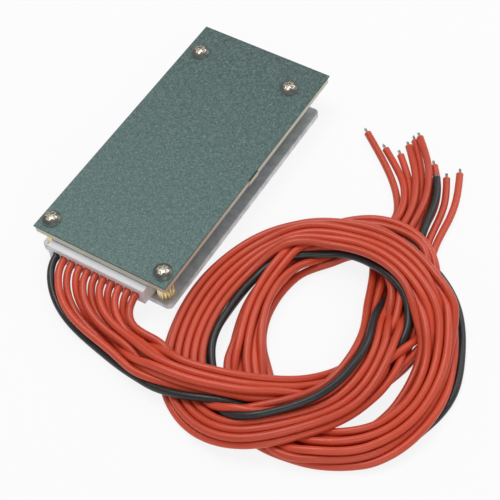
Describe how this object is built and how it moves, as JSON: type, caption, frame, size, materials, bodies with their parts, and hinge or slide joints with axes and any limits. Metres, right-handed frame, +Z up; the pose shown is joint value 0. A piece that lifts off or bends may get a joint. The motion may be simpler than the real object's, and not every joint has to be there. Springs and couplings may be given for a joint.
{
  "type": "battery management board",
  "caption": "Cell balancing and protection board under a green insulation sheet, held by knurled spacers over an aluminium heatsink plate, with a balance plug and coiled loose leads.",
  "frame": {"origin": "on the surface under the middle of the board assembly, plug included, leads left out", "axes": "+Y from the plug to the power pads along the board, +Z up through the plate and board"},
  "size_m": [0.1144, 0.1108, 0.0127],
  "materials": {
    "board": "bare glass-fibre laminate edge",
    "sheet": "green glass-fibre sheet, satin",
    "plate": "rolled, satin",
    "spacers": "knurled, bright",
    "screws": "nickel plated",
    "connector": "moulded, smooth",
    "contacts": "tinned brass",
    "moulding": "moulded black",
    "solder": "tinned",
    "thermal_pad": "soft silicone",
    "shunts": "rolled strip",
    "chips": "fired",
    "red_wire": "smooth insulation",
    "black_wire": "smooth insulation"
  },
  "bodies": {
    "root": {"circuit_board": "board", "insulation_sheet": "sheet", "heatsink_plate": "plate", "spacers": "spacers", "cover_screws": "screws", "plate_screws": "screws", "balance_header": "connector", "header_pins": "contacts", "balance_plug": "connector", "crimp_contacts": "contacts", "charge_mosfets": "moulding", "charge_leadframes": "solder", "charge_thermal_pad": "thermal_pad", "discharge_mosfets": "moulding", "discharge_leadframes": "solder", "discharge_thermal_pad": "thermal_pad", "current_shunts": "shunts", "power_pads": "solder", "monitor_body": "moulding", "monitor_legs": "solder", "balance_resistors": "chips", "balance_transistors": "moulding", "filter_capacitors": "chips", "clamp_diode": "moulding", "wire_lead_01": "black_wire", "wire_lead_02": "red_wire", "wire_lead_03": "red_wire", "wire_lead_04": "red_wire", "wire_lead_05": "red_wire", "wire_lead_06": "red_wire", "wire_lead_07": "red_wire", "wire_lead_08": "red_wire", "wire_lead_09": "red_wire", "wire_lead_10": "red_wire", "wire_lead_11": "red_wire", "wire_coil": "red_wire", "wire_tail_01": "red_wire", "wire_tail_02": "red_wire", "wire_tail_03": "red_wire", "wire_tail_04": "red_wire", "wire_tail_05": "red_wire", "wire_tail_06": "red_wire", "wire_tail_07": "red_wire", "wire_tail_08": "red_wire", "wire_tail_09": "black_wire", "wire_tail_10": "red_wire", "wire_tail_11": "red_wire", "conductor_tips": "solder"}
  },
  "joints": []
}
